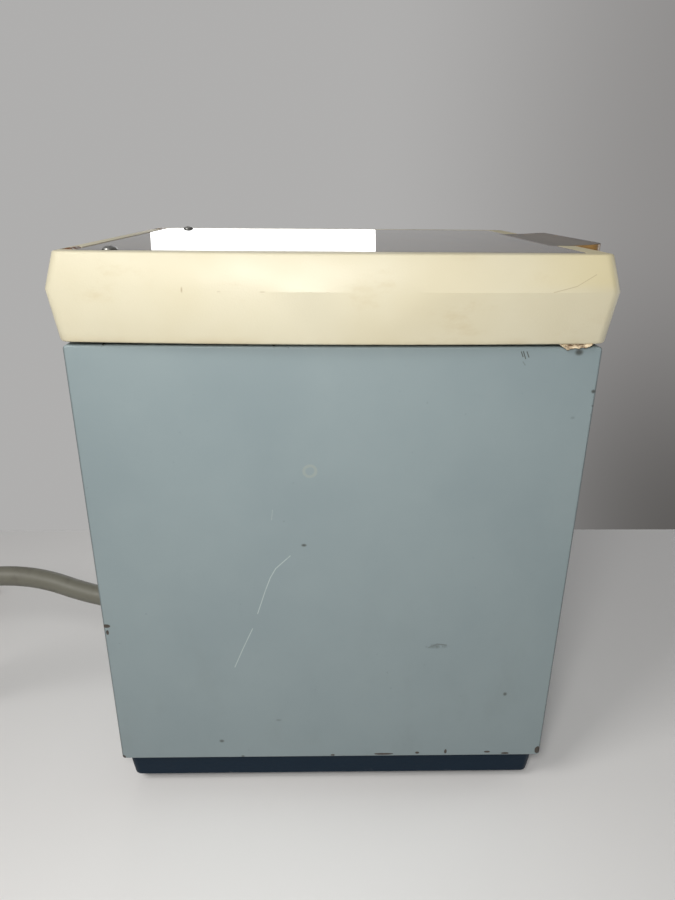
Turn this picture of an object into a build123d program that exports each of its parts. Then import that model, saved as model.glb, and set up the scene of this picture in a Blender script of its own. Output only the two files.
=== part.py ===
"""A small bench centrifuge: a sheet metal cabinet on a tray, a moulded top housing with a flat
hinged lid, and a fixed-angle rotor on a brushed motor hung below its bowl.

Millimetres, +Z up. The front is -Y, the mains cord leaves at the rear, +Y. The origin is on the
surface that the machine stands on, under the middle of the machine.
"""

from build123d import *
import math
import os

os.makedirs("parts", exist_ok=True)

# ---- driving dimensions
cabinet_wide = 168.0  # along X
cabinet_long = 205.0  # along Y
cabinet_y = 4.3  # the lid's tab sticks out at the front, so the cabinet's middle is behind the origin
tray_bottom, panel_bottom, panel_top = 6.0, 20.6, 224.9
sheet = 1.2  # side panels
housing_bottom, housing_ridge, housing_top = 226.3, 245.8, 258.9
deck_under, deck_top = 250.9, 253.9
bowl_radius = 68.0
lid_thick = 3.2
lid_bottom = housing_top - lid_thick
lid_half_wide, lid_front, lid_rear = 78.5, -93.8, 95.5
hinge_y, hinge_z = 98.3, 256.9
pin_radius = 1.5
shaft_radius = 4.0
rotor_z = 190.0  # datum of the rotor's section
pocket_count, pocket_radius, pocket_depth = 12, 5.5, 27.0
cord_radius = 4.8
half_wide, half_long = cabinet_wide / 2, cabinet_long / 2


def level(z):
    """A horizontal plane through the cabinet's middle at height z."""
    return Plane((0, cabinet_y, z))


def block(x, y, z, mode=Mode.ADD):
    """A box from its (low, high) spans, with y counted from the cabinet's middle."""
    spans = [(min(s), max(s)) for s in (x, y, z)]
    middle = [(low + high) / 2 for low, high in spans]
    with Locations((middle[0], middle[1] + cabinet_y, middle[2])):
        Box(*[high - low for low, high in spans], mode=mode)


def rod(x, y, z, radius, length, along="Z", mode=Mode.ADD):
    """A cylinder whose middle is at x, y, z, with y counted from the cabinet's middle."""
    turn = {"X": (0, 90, 0), "Y": (90, 0, 0), "Z": (0, 0, 0)}[along]
    with Locations((x, y + cabinet_y, z)):
        Cylinder(radius, length, rotation=turn, mode=mode)


def tube(x, y, low, high, outer, inner):
    """An upright ring from height low to high."""
    rod(x, y, (low + high) / 2, outer, high - low)
    rod(x, y, (low + high) / 2, inner, high - low, mode=Mode.SUBTRACT)


def save(builder, name):
    """Labels a finished piece and writes it."""
    builder.part.label = name
    export_step(builder.part, f"parts/{name}.step")


def corners(x, y):
    """Four places, mirrored about the cabinet's two middle planes."""
    return [(i * x, j * y) for i in (-1, 1) for j in (-1, 1)]


# ---- tray, feet and frame
foot_x, foot_y, foot_radius = 62.0, 78.0, 9.0
tray_wall, tray_floor, board_under = 2.5, 8.5, 16.5
tray_in_low, tray_in_high = 4.4, 3.0  # how far the tray stands in from the side panels
tray_long = cabinet_long + 3.0  # it stands in 1.5 mm less at its ends
post_x, post_y, post_side, post_wall = 73.6, 101.0, 11.6, 1.5
post_top = 236.0
plate_y = post_y - post_side

with BuildPart() as base_tray:
    for wall, mode in ((0, Mode.ADD), (tray_wall, Mode.SUBTRACT)):
        for z, inset in ((tray_bottom, tray_in_low), (panel_bottom, tray_in_high)):
            with BuildSketch(level(z + (wall if z == tray_bottom else 0))):
                inward = 2 * (inset + wall)
                RectangleRounded(cabinet_wide - inward, tray_long - inward, 4 - wall)
        loft(mode=mode)
    for x in (-24, -12, 0, 12, 24):
        block((x - 2, x + 2), (-52, 52), (0, tray_floor), mode=Mode.SUBTRACT)
    for x, y in corners(foot_x, foot_y):
        rod(x, y, tray_bottom, 1.5, 10, mode=Mode.SUBTRACT)
    for i, j in corners(1, 1):  # seats under the posts
        block((i * (post_x - post_side), i * post_x), (j * plate_y, j * 99), (tray_floor, panel_bottom))
    for x in (-40, 40):  # posts under the circuit board
        for y in (-55, 35):
            rod(x, y, (tray_floor + board_under) / 2, 3, board_under - tray_floor)
save(base_tray, "base_tray")

with BuildPart() as rubber_feet:
    for x, y in corners(foot_x, foot_y):
        tube(x, y, 0, tray_bottom, foot_radius, 1.5)
        rod(x, y, 1.25, 4.0, 2.5, mode=Mode.SUBTRACT)
save(rubber_feet, "rubber_feet")

with BuildPart() as foot_screws:
    for x, y in corners(foot_x, foot_y):
        rod(x, y, 6.5, 1.5, 8)
        rod(x, y, 1.7, 3.0, 1.6)
save(foot_screws, "foot_screws")

panel_screw_z = (40.0, 205.0)
plate_under, plate_thick = 170.0, 2.0
plate_screw_z, plate_flange = 163.0, 1.5

with BuildPart() as frame_posts:
    for i, j in corners(1, 1):
        block((i * (post_x - post_side), i * post_x), (j * plate_y, j * post_y), (panel_bottom, post_top))
        block(
            (i * (post_x - post_side - 1), i * (post_x - post_wall)),
            (j * (plate_y + post_wall), j * (post_y - post_wall)),
            (panel_bottom, post_top - 2),
            mode=Mode.SUBTRACT,
        )
        for z in panel_screw_z:
            rod(i * 67, j * (post_y - 1), z, 1.5, 4, along="Y", mode=Mode.SUBTRACT)
        rod(i * 67, j * (plate_y + 1), plate_screw_z, 1.5, 4, along="Y", mode=Mode.SUBTRACT)
save(frame_posts, "frame_posts")

# ---- side panels: folded trays whose returns wrap on to the front and the rear
panel_return = 10.0
for side, name in ((-1, "left_side_panel"), (1, "right_side_panel")):
    with BuildPart() as side_panel:
        high = panel_top - panel_bottom
        face_middle = (side * half_wide, cabinet_y, panel_bottom + high / 2)
        outside = Plane(face_middle, (0, 1, 0), (-side, 0, 0))
        with BuildSketch(outside):
            RectangleRounded(cabinet_long, high, 1.5)
        extrude(amount=panel_return)
        outer_face = side_panel.faces().sort_by(Axis.X)[0 if side < 0 else -1]
        fillet(outer_face.edges(), 0.9)
        with BuildSketch(outside.offset(sheet)):
            RectangleRounded(cabinet_long - 2 * sheet, high - 2 * sheet, 1.5 - sheet)
        extrude(amount=panel_return, mode=Mode.SUBTRACT)
    save(side_panel, name)

# ---- front and rear panels between the returns
infill_x = half_wide - panel_return - 0.4
infill_y = (half_long - 1.5, half_long)
knob_x, knob_z = -28.0, 117.0
rocker_x, rocker_z, rocker_w, rocker_h = 36.0, 106.0, 13.0, 24.0
lamp_x, lamp_z, lamp_radius = 36.0, 136.0, 4.5
button_x, button_z, button_radius = 6.0, 136.0, 5.0
fascia_x, fascia_z, fascia_thick = 62.0, (84.0, 152.0), 1.6
fascia_y = (-half_long - fascia_thick, -half_long)


def control_holes():
    """Holes for the knob's shaft, the rocker, the lamp and the push button."""
    rod(knob_x, -half_long, knob_z, 3.6, 12, along="Y", mode=Mode.SUBTRACT)
    rod(lamp_x, -half_long, lamp_z, lamp_radius, 12, along="Y", mode=Mode.SUBTRACT)
    rod(button_x, -half_long, button_z, button_radius + 0.3, 12, along="Y", mode=Mode.SUBTRACT)
    block(
        (rocker_x - rocker_w / 2 - 1.5, rocker_x + rocker_w / 2 + 1.5),
        (-half_long - 6, -half_long + 6),
        (rocker_z - rocker_h / 2 - 1.5, rocker_z + rocker_h / 2 + 1.5),
        mode=Mode.SUBTRACT,
    )


with BuildPart() as front_panel:
    block((-infill_x, infill_x), (-infill_y[0], -infill_y[1]), (panel_bottom, panel_top))
    control_holes()
    for x in (-67, 67):
        for z in panel_screw_z:
            rod(x, -half_long, z, 1.5, 6, along="Y", mode=Mode.SUBTRACT)
save(front_panel, "front_panel")

with BuildPart() as control_fascia:
    with BuildSketch(Plane((0, cabinet_y - half_long, sum(fascia_z) / 2), (1, 0, 0), (0, -1, 0))):
        RectangleRounded(2 * fascia_x, fascia_z[1] - fascia_z[0], 4)
    extrude(amount=fascia_thick)
    fillet(control_fascia.faces().sort_by(Axis.Y)[0].edges(), 0.6)
    control_holes()
save(control_fascia, "control_fascia")

cord_exit_x, cord_exit_z = -44.0, 84.5
fuse_x, fuse_z = -8.0, 84.5
louvre_z = [140 + 8 * n for n in range(8)]

with BuildPart() as rear_panel:
    block((-infill_x, infill_x), infill_y, (panel_bottom, panel_top))
    for x in (-32, 32):
        for z in louvre_z:
            block((x - 22, x + 22), (half_long - 4, half_long + 4), (z, z + 3), mode=Mode.SUBTRACT)
    rod(cord_exit_x, half_long, cord_exit_z, 7.5, 12, along="Y", mode=Mode.SUBTRACT)
    rod(fuse_x, half_long, fuse_z, 6.5, 12, along="Y", mode=Mode.SUBTRACT)
    for x in (-67, 67):
        for z in panel_screw_z:
            rod(x, half_long, z, 1.5, 6, along="Y", mode=Mode.SUBTRACT)
save(rear_panel, "rear_panel")

with BuildPart() as panel_screws:
    for i, j in corners(1, 1):
        for z in panel_screw_z:
            rod(i * 67, j * (half_long - 2.5), z, 1.5, 5, along="Y")
            rod(i * 67, j * (half_long + 0.8), z, 2.9, 1.6, along="Y")
save(panel_screws, "panel_screws")

# ---- top housing: a moulded ring with a ridge round its sides, a lid recess and the bowl's opening
side_bow = 3.6  # the long sides bulge by this much at their middle
sections = ((housing_bottom, 1.0), (housing_ridge, 3.2), (housing_top, 0.0))
recess_gap = 0.6
interlock_x, interlock_y, interlock_radius = 48.0, -84.0, 1.5
catch_y = (-92.4, -86.0)

with BuildPart() as top_housing:
    for lower, upper in zip(sections, sections[1:]):
        for z, reach in (lower, upper):
            x, y = half_wide + reach, half_long + reach
            with BuildSketch(level(z)):
                with BuildLine():
                    ThreePointArc((x, -y), (x + side_bow, 0), (x, y))
                    Line((x, y), (-x, y))
                    ThreePointArc((-x, y), (-x - side_bow, 0), (-x, -y))
                    Line((-x, -y), (x, -y))
                make_face()
                fillet(vertices(), 5)
        loft(ruled=True)
    fillet(top_housing.faces().sort_by(Axis.Z)[-1].edges(), 1.2)
    fillet(top_housing.faces().sort_by(Axis.Z)[0].edges(), 1.0)
    with BuildSketch(level(housing_bottom)):
        RectangleRounded(cabinet_wide - 5, cabinet_long - 3, 5)
    extrude(amount=deck_under - housing_bottom, mode=Mode.SUBTRACT)
    for i, j in corners(1, 1):
        block((i * (post_x - post_side), i * post_x), (j * plate_y, j * post_y), (post_top, deck_under))
    lid_y = (lid_front - recess_gap, lid_rear + 1.2)
    with BuildSketch(Plane((0, cabinet_y + sum(lid_y) / 2, deck_top))):
        RectangleRounded(2 * (lid_half_wide + recess_gap), lid_y[1] - lid_y[0], 3.5)
    extrude(amount=10, mode=Mode.SUBTRACT)
    block((-42.7, 42.7), (-120, lid_front), (255.0, 270), mode=Mode.SUBTRACT)
    rod(0, 0, deck_top, bowl_radius, 10, mode=Mode.SUBTRACT)
    rod(interlock_x, interlock_y, deck_top, interlock_radius + 0.3, 10, mode=Mode.SUBTRACT)
    block((-10, 10), catch_y, (deck_under, deck_top), mode=Mode.SUBTRACT)
    for side in (-1, 1):
        block((side * 65.4, side * 76.6), (92, 101.3), (253.3, 270), mode=Mode.SUBTRACT)
        rod(side * 71, hinge_y, hinge_z, pin_radius, 22, along="X", mode=Mode.SUBTRACT)
save(top_housing, "top_housing")

with BuildPart() as lid_gasket:
    tube(0, 0, deck_top, lid_bottom - 0.35, 74, 69)
save(lid_gasket, "lid_gasket")

with BuildPart() as catch_magnet:
    block((-10, 10), catch_y, (deck_under - 1, deck_top + 0.9))
save(catch_magnet, "catch_magnet")

with BuildPart() as hinge_pins:
    for side in (-1, 1):
        rod(side * 71, hinge_y, hinge_z, pin_radius, 22, along="X")
save(hinge_pins, "hinge_pins")

# ---- lid
tab_half, tab_tip, tab_rise = 42.0, -114.3, 1.0
lid_screw_places = [(-75.2, 83.2), (75.2, 83.2)]

with BuildPart() as lid_panel:
    with BuildSketch(Plane((0, cabinet_y + (lid_front + lid_rear) / 2, lid_bottom))):
        RectangleRounded(2 * lid_half_wide, lid_rear - lid_front, 3)
    extrude(amount=lid_thick)
    with BuildSketch(Plane.YZ.offset(-tab_half)):
        with BuildLine():
            Polyline(
                (cabinet_y + lid_front + 4, lid_bottom),
                (cabinet_y + lid_front, lid_bottom),
                (cabinet_y + tab_tip, lid_bottom + tab_rise),
                (cabinet_y + tab_tip, housing_top + tab_rise),
                (cabinet_y + lid_front, housing_top),
                (cabinet_y + lid_front + 4, housing_top),
                close=True,
            )
        make_face()
    extrude(amount=2 * tab_half)
    tip_corners = lid_panel.edges().filter_by(Axis.Z).group_by(Axis.Y)[0]
    fillet(tip_corners, 5)
    for x, y in lid_screw_places:
        rod(x, y, housing_top, 1.5, 12, mode=Mode.SUBTRACT)
save(lid_panel, "lid_panel")

strap_thick = 1.4
with BuildPart() as hinge_straps:
    for side in (-1, 1):
        block((side * 66, side * 76), (90, hinge_y - 1), (lid_bottom - strap_thick, lid_bottom))
        block((side * 66, side * 78), (72, 90), (lid_bottom - strap_thick, lid_bottom))
        rod(side * 71, hinge_y, hinge_z, 2.4, 10, along="X")
        rod(side * 71, hinge_y, hinge_z, pin_radius + 0.05, 12, along="X", mode=Mode.SUBTRACT)
    for x, y in lid_screw_places:
        rod(x, y, lid_bottom, 1.5, 6, mode=Mode.SUBTRACT)
save(hinge_straps, "hinge_straps")

head_radius, head_high = 2.8, 1.3
with BuildPart() as lid_screws:
    dome_radius = (head_radius**2 + head_high**2) / (2 * head_high)
    for x, y in lid_screw_places:
        with Locations((x, y + cabinet_y, housing_top + head_high - dome_radius)):
            Sphere(dome_radius)
    block((-90, 90), (60, 100), (housing_top - 20, housing_top), mode=Mode.SUBTRACT)
    for x, y in lid_screw_places:
        rod(x, y, (lid_bottom - strap_thick + housing_top) / 2, 1.5, lid_thick + strap_thick)
save(lid_screws, "lid_screws")

with BuildPart() as striker_plate:
    block((-9, 9), (-91.5, -86.5), (lid_bottom - 0.5, lid_bottom))
save(striker_plate, "striker_plate")

# ---- lid interlock: a pin in the deck works a switch below it
with BuildPart() as interlock_pin:
    rod(interlock_x, interlock_y, 249.9, interlock_radius, 10.6)
    rod(interlock_x, interlock_y, 247.6, 3.0, 1.2)
save(interlock_pin, "interlock_pin")

with BuildPart() as interlock_switch:
    block((interlock_x - 14, interlock_x - 4), (interlock_y - 4, interlock_y + 4), (232, deck_under))
    block((interlock_x - 4, interlock_x + 4), (interlock_y - 4, interlock_y + 4), (232, 244.2))
save(interlock_switch, "interlock_switch")

# ---- bowl under the deck
bowl_floor = 184.0
with BuildPart() as rotor_bowl:
    rod(0, 0, deck_under - 0.6, 75, 1.2)
    rod(0, 0, (bowl_floor + deck_under) / 2, bowl_radius + 1.5, deck_under - bowl_floor)
    fillet(rotor_bowl.faces().sort_by(Axis.Z)[0].edges(), 5)
    with Locations((0, cabinet_y, bowl_floor + 1.5)):
        Cylinder(
            bowl_radius,
            deck_under - bowl_floor,
            align=(Align.CENTER, Align.CENTER, Align.MIN),
            mode=Mode.SUBTRACT,
        )
    rod(0, 0, bowl_floor, 15, 8, mode=Mode.SUBTRACT)
    with Locations(level(deck_under)):
        with PolarLocations(72, 6, start_angle=15):
            Cylinder(1.2, 6, mode=Mode.SUBTRACT)
save(rotor_bowl, "rotor_bowl")

with BuildPart() as bowl_screws:
    with Locations(level(deck_under - 1.2)):
        with PolarLocations(72, 6, start_angle=15):
            Cylinder(1.2, 1.2, align=(Align.CENTER, Align.CENTER, Align.MIN))
            Cylinder(2.1, 1.4, align=(Align.CENTER, Align.CENTER, Align.MAX))
save(bowl_screws, "bowl_screws")

with BuildPart() as bowl_seal:
    tube(0, 0, 183, 187.2, 15, 5.5)
    tube(0, 0, 185.5, 187.2, 17, 5.5)
save(bowl_seal, "bowl_seal")

# ---- rotor: an aluminium cone with angled pockets, on a steel hub and a brass nut
with BuildPart() as rotor_body:
    with BuildSketch(Plane.XZ.offset(-cabinet_y)):
        with BuildLine():
            Polyline(
                (16, rotor_z - 2),
                (50, rotor_z - 2),
                (64, rotor_z + 8),
                (64, rotor_z + 20),
                (52, rotor_z + 38),
                (48, rotor_z + 36),
                (24, rotor_z + 12),
                (16, rotor_z + 12),
                close=True,
            )
        make_face()
    revolve(axis=Axis((0, cabinet_y, 0), (0, 0, 1)))
    with PolarLocations(0, pocket_count) as around:
        spins = [place.orientation.Z for place in around.locations]
    for spin in spins:
        angle = math.radians(spin)
        mouth = (37 * math.cos(angle), 37 * math.sin(angle) + cabinet_y, rotor_z + 25)
        down = (math.cos(angle), math.sin(angle), -1)
        with BuildSketch(Plane(mouth, z_dir=down).offset(-6)):
            Circle(pocket_radius)
        extrude(amount=pocket_depth + 6, mode=Mode.SUBTRACT)
save(rotor_body, "rotor_body")

with BuildPart() as rotor_hub:
    tube(0, 0, rotor_z - 2, rotor_z + 14, 16, shaft_radius)
save(rotor_hub, "rotor_hub")

with BuildPart() as rotor_nut:
    with BuildSketch(level(rotor_z + 14)):
        RegularPolygon(9, 6)
    extrude(amount=9)
    fillet(rotor_nut.faces().sort_by(Axis.Z)[-1].edges(), 1.2)
    rod(0, 0, rotor_z + 16, shaft_radius, 8, mode=Mode.SUBTRACT)
save(rotor_nut, "rotor_nut")

# ---- motor: can, end bells, field, armature, brushes and fan
can_low, can_high, can_radius = 78.0, 154.0, 42.0
bell_thick, bearing_radius, bearing_wide = 8.0, 11.0, 7.0
shaft_low, shaft_high = 68.0, rotor_z + 20
brush_z, commutator_radius = 85.0, 11.0

with BuildPart() as drive_shaft:
    rod(0, 0, (shaft_low + shaft_high) / 2, shaft_radius, shaft_high - shaft_low)
save(drive_shaft, "drive_shaft")

bearing_lows = (can_low - bearing_wide, can_high + 1)

with BuildPart() as motor_can:  # drawn in one piece with its lower end
    tube(0, 0, can_low, can_high, can_radius, can_radius - 2)
    rod(0, 0, can_low - bell_thick / 2, can_radius, bell_thick)
    rod(0, 0, bearing_lows[0] + bearing_wide / 2, bearing_radius, bearing_wide, mode=Mode.SUBTRACT)
    rod(0, 0, can_low, shaft_radius + 2, 20, mode=Mode.SUBTRACT)
    for side in (-1, 1):
        block((side * 30, side * 50), (-5, 5), (brush_z - 4.5, brush_z + 4.5), mode=Mode.SUBTRACT)
save(motor_can, "motor_can")

ear_radius, ear_count = 50.0, 3
with BuildPart() as motor_end_bell:
    rod(0, 0, can_high + bell_thick / 2, can_radius, bell_thick)
    with Locations(level(can_high + bell_thick / 2)):
        with PolarLocations(ear_radius - 3, ear_count, start_angle=90):
            Box(18, 14, bell_thick)
        with PolarLocations(ear_radius, ear_count, start_angle=90):
            Cylinder(2, 20, mode=Mode.SUBTRACT)
    rod(0, 0, bearing_lows[1] + bearing_wide / 2, bearing_radius, bearing_wide, mode=Mode.SUBTRACT)
    rod(0, 0, can_high, shaft_radius + 2, 20, mode=Mode.SUBTRACT)
save(motor_end_bell, "motor_end_bell")

with BuildPart() as motor_bearings:
    for low in bearing_lows:
        tube(0, 0, low, low + bearing_wide, bearing_radius, shaft_radius + 0.04)
save(motor_bearings, "motor_bearings")

with BuildPart() as stator_core:
    tube(0, 0, 100, 136, can_radius - 2, 27.2)
save(stator_core, "stator_core")

with BuildPart() as stator_windings:
    for low in (90, 136):
        tube(0, 0, low, low + 10, 38, 29)
save(stator_windings, "stator_windings")

with BuildPart() as armature_core:
    tube(0, 0, 98, 138, 26.4, shaft_radius)
    with Locations(level(118)):
        with PolarLocations(25, 12):
            Box(6, 3, 50, mode=Mode.SUBTRACT)
save(armature_core, "armature_core")

with BuildPart() as armature_windings:
    for low in (92, 138):
        tube(0, 0, low, low + 6, 20, shaft_radius)
save(armature_windings, "armature_windings")

with BuildPart() as commutator:
    tube(0, 0, 80, 91, commutator_radius, shaft_radius)
save(commutator, "commutator")

with BuildPart() as cooling_fan:
    tube(0, 0, 146.5, 152.5, 9, shaft_radius)
    with Locations(level(149.5)):
        with PolarLocations(21, 8):
            Box(26, 1.6, 6)
    rod(0, 0, 147, 34, 1)
    rod(0, 0, 149.5, shaft_radius, 20, mode=Mode.SUBTRACT)
save(cooling_fan, "cooling_fan")

with BuildPart() as brush_holders:
    for side in (-1, 1):
        block((side * 14, side * 46), (-5, 5), (brush_z - 4.5, brush_z + 4.5))
        block((side * 10, side * 43), (-3, 3), (brush_z - 2.5, brush_z + 2.5), mode=Mode.SUBTRACT)
save(brush_holders, "brush_holders")

with BuildPart() as carbon_brushes:
    for side in (-1, 1):
        block((side * (commutator_radius + 0.4), side * 26), (-3, 3), (brush_z - 2.5, brush_z + 2.5))
save(carbon_brushes, "carbon_brushes")

with BuildPart() as motor_plate:
    block((-73, 73), (-plate_y, plate_y), (plate_under, plate_under + plate_thick))
    for j in (-1, 1):
        block((-73, 73), (j * (plate_y - plate_flange), j * plate_y), (156, plate_under))
        for i in (-1, 1):
            rod(i * 67, j * plate_y, plate_screw_z, 1.5, 6, along="Y", mode=Mode.SUBTRACT)
    rod(0, 0, plate_under, 16, 10, mode=Mode.SUBTRACT)
    with Locations(level(plate_under)):
        with PolarLocations(ear_radius, ear_count, start_angle=90):
            Cylinder(2, 10, mode=Mode.SUBTRACT)
save(motor_plate, "motor_plate")

with BuildPart() as motor_isolators:
    with Locations(level((can_high + bell_thick + plate_under) / 2)):
        with PolarLocations(ear_radius, ear_count, start_angle=90):
            Cylinder(7, plate_under - can_high - bell_thick)
            Cylinder(2, 20, mode=Mode.SUBTRACT)
save(motor_isolators, "motor_isolators")

with BuildPart() as motor_plate_screws:
    for i, j in corners(1, 1):
        rod(i * 67, j * (plate_y - 0.5), plate_screw_z, 1.5, 4, along="Y")
        rod(i * 67, j * (plate_y - plate_flange - 1), plate_screw_z, 2.8, 2, along="Y")
    low, high = can_high - 2, plate_under + plate_thick
    for start, radius, long in ((low, 2, high - low), (high, 3.6, 2.4)):
        with Locations(level(start)):
            with PolarLocations(ear_radius, ear_count, start_angle=90):
                Cylinder(radius, long, align=(Align.CENTER, Align.CENTER, Align.MIN))
save(motor_plate_screws, "motor_plate_screws")

# ---- controls on the front
knob_face, knob_deep, knob_radius = -half_long - fascia_thick - 0.4, 10.0, 15.0
with BuildPart() as timer_knob:
    rod(knob_x, knob_face - knob_deep / 2, knob_z, knob_radius, knob_deep, along="Y")
    fillet(timer_knob.faces().sort_by(Axis.Y)[0].edges(), 1.5)
    with Locations(Plane((knob_x, cabinet_y + knob_face, knob_z), (1, 0, 0), (0, -1, 0))):
        with PolarLocations(knob_radius + 0.6, 24):
            Cylinder(1.1, 30, mode=Mode.SUBTRACT)
    rod(knob_x, knob_face - 2.5, knob_z, 3, 9, along="Y", mode=Mode.SUBTRACT)
save(timer_knob, "timer_knob")

with BuildPart() as timer_shaft:
    rod(knob_x, knob_face + 1, knob_z, 3, 16, along="Y")
save(timer_shaft, "timer_shaft")

with BuildPart() as timer_body:
    block((knob_x - 18, knob_x + 18), (-post_y, -72), (knob_z - 18, knob_z + 18))
    rod(knob_x, -post_y, knob_z, 3.3, 16, along="Y", mode=Mode.SUBTRACT)
save(timer_body, "timer_body")

rocker_in, pivot_radius = -half_long + 1, 1.5
with BuildPart() as rocker_switch:
    block(
        (rocker_x - rocker_w / 2 - 1.5, rocker_x + rocker_w / 2 + 1.5),
        (fascia_y[0], -80),
        (rocker_z - rocker_h / 2 - 1.5, rocker_z + rocker_h / 2 + 1.5),
    )
    block(
        (rocker_x - rocker_w / 2 - 3.5, rocker_x + rocker_w / 2 + 3.5),
        (fascia_y[0] - 1.4, fascia_y[0]),
        (rocker_z - rocker_h / 2 - 3.5, rocker_z + rocker_h / 2 + 3.5),
    )
    block(
        (rocker_x - rocker_w / 2, rocker_x + rocker_w / 2),
        (-half_long - 10, -half_long + 9),
        (rocker_z - rocker_h / 2, rocker_z + rocker_h / 2),
        mode=Mode.SUBTRACT,
    )
    rod(rocker_x, rocker_in, rocker_z, pivot_radius + 0.1, 20, along="X", mode=Mode.SUBTRACT)
save(rocker_switch, "rocker_switch")

with BuildPart() as power_rocker:
    pivot = cabinet_y + rocker_in
    with BuildSketch(Plane.YZ.offset(rocker_x - rocker_w / 2 + 0.4)):
        with BuildLine():
            Polyline(
                (pivot - 6.0, rocker_z + 10.0),
                (pivot - 3.4, rocker_z),
                (pivot - 2.6, rocker_z - 10.0),
                (pivot + 2, rocker_z - 9),
                (pivot + 5, rocker_z),
                (pivot + 1, rocker_z + 9),
                close=True,
            )
        make_face()
    extrude(amount=rocker_w - 0.8)
    rod(rocker_x, rocker_in, rocker_z, pivot_radius, rocker_w + 2, along="X")
save(power_rocker, "power_rocker")

with BuildPart() as pilot_lamp:
    rod(lamp_x, -half_long + 4, lamp_z, lamp_radius, 12, along="Y")
    rod(lamp_x, fascia_y[0] - 0.6, lamp_z, lamp_radius + 1.5, 1.2, along="Y")
save(pilot_lamp, "pilot_lamp")

with BuildPart() as lamp_lens:
    with Locations((lamp_x, cabinet_y + fascia_y[0] - 1.2, lamp_z)):
        Sphere(lamp_radius)
    block((20, 50), (-half_long - 2.8, -80), (120, 150), mode=Mode.SUBTRACT)
save(lamp_lens, "lamp_lens")

with BuildPart() as pulse_button:
    rod(button_x, -half_long, button_z, button_radius, 9, along="Y")
    rod(button_x, -half_long + 5.3, button_z, 7, 1.6, along="Y")
save(pulse_button, "pulse_button")

with BuildPart() as pulse_switch:
    block((button_x - 9, button_x + 9), (-post_y, -80), (button_z - 9, button_z + 9))
    rod(button_x, -97, button_z, 7.6, 12, along="Y", mode=Mode.SUBTRACT)
save(pulse_switch, "pulse_switch")

# ---- supply parts on the tray and the rear panel
with BuildPart() as circuit_board:
    block((-45, 45), (-60, 40), (board_under, board_under + 1.6))
save(circuit_board, "circuit_board")

with BuildPart() as transformer:
    block((-34, -2), (-46, -8), (board_under + 1.6, 46))
    block((-30, -6), (-52, -2), (24, 40))
save(transformer, "transformer")

with BuildPart() as terminal_block:
    for n in range(5):
        block((-30 + 12 * n, -19 + 12 * n), (54, 70), (tray_floor, 24))
    block((-30, 29), (50, 74), (tray_floor, 12))
save(terminal_block, "terminal_block")

with BuildPart() as fuse_holder:
    rod(fuse_x, half_long - 18, fuse_z, 6.5, 39, along="Y")
    rod(fuse_x, half_long + 1.3, fuse_z, 8.5, 2.6, along="Y")
save(fuse_holder, "fuse_holder")

# ---- mains cord: strain relief, free run, put-away coil, tail and plug
exit_y = cabinet_y + half_long
relief_flange, relief_length = 2.5, 22.0
with BuildPart() as strain_relief:
    for start, radius, thick in ((-6, 7.5, 6), (0, 9, relief_flange)):
        with BuildSketch(Plane((cord_exit_x, exit_y + start, cord_exit_z), (1, 0, 0), (0, 1, 0))):
            Circle(radius)
        extrude(amount=thick)
    for along, radius in ((relief_flange, 7.6), (relief_length, 5.8)):
        middle = (cord_exit_x, exit_y + along, cord_exit_z + along / 12)
        with BuildSketch(Plane(middle, (1, 0, 0), (0, 1, 0))):
            Circle(radius)
    loft()
save(strain_relief, "strain_relief")

cord_route = [
    (-44.0, exit_y + relief_flange, 84.5),
    (-44.0, 127.0, 88.5),
    (-44.3, 150.0, 99.0),
    (-45.0, 176.0, 100.5),
    (-46.5, 201.0, 95.0),
    (-47.5, 222.0, 81.0),
    (-49.0, 238.0, 59.0),
    (-51.5, 257.0, 33.0),
    (-53.0, 273.0, 16.5),
    (-54.5, 293.0, 7.0),
    (-54.0, 316.0, 4.9),
    (-55.5, 345.0, 4.8),
    (-54.8, 368.0, 4.8),
]
points = [Vector(*p) for p in cord_route]
radii = []
for before, here, after in zip(points, points[1:], points[2:]):
    turn = math.radians((here - before).get_angle(after - here))
    short = min((here - before).length, (after - here).length)
    radii.append(0.45 * short / math.tan(turn / 2))
print("cord arc radii", [round(r) for r in radii])

with BuildPart() as power_cord:
    with BuildLine() as run:
        FilletPolyline(*cord_route, radius=radii)
    start = points[0]
    with BuildSketch(Plane(start, z_dir=points[1] - start)):
        Circle(cord_radius)
    sweep()
length = run.wire().length
straight_volume = math.pi * cord_radius**2 * length
print("cord run", round(length), "volume ratio", round(power_cord.part.volume / straight_volume, 3))
save(power_cord, "power_cord")

coil_x, coil_y = 8.0, 368.0
turn_outer, turn_inner = 62.0, 40.3
tail_start, tail_length = 24.0, 54.0  # it comes out of the coil's ring after the first of these
with BuildPart() as cord_coil:
    with BuildSketch(Plane((coil_x, coil_y, 0))):
        Circle(turn_outer + cord_radius)
        Circle(turn_inner - cord_radius, mode=Mode.SUBTRACT)
    extrude(amount=4 * cord_radius)
    fillet(cord_coil.edges().filter_by(GeomType.CIRCLE), 3)
save(cord_coil, "cord_coil")

tail_x, tail_z = coil_x + turn_outer, 3 * cord_radius
plug_y = coil_y - tail_length
with BuildPart() as cord_tail:
    with BuildSketch(Plane((tail_x, coil_y - tail_start, tail_z), (1, 0, 0), (0, -1, 0))):
        Circle(cord_radius)
    extrude(amount=tail_length - tail_start)
save(cord_tail, "cord_tail")

with BuildPart() as plug_body:
    for back, wide, high in ((0, 11, 11), (18, 17, 17)):
        with BuildSketch(Plane((tail_x, plug_y - back, tail_z), (1, 0, 0), (0, -1, 0))):
            RectangleRounded(wide, high, 5)
    loft()
    with BuildSketch(Plane((tail_x, plug_y - 18, tail_z), (1, 0, 0), (0, -1, 0))):
        RectangleRounded(27, 28, 7)
    extrude(amount=26)
save(plug_body, "plug_body")

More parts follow.
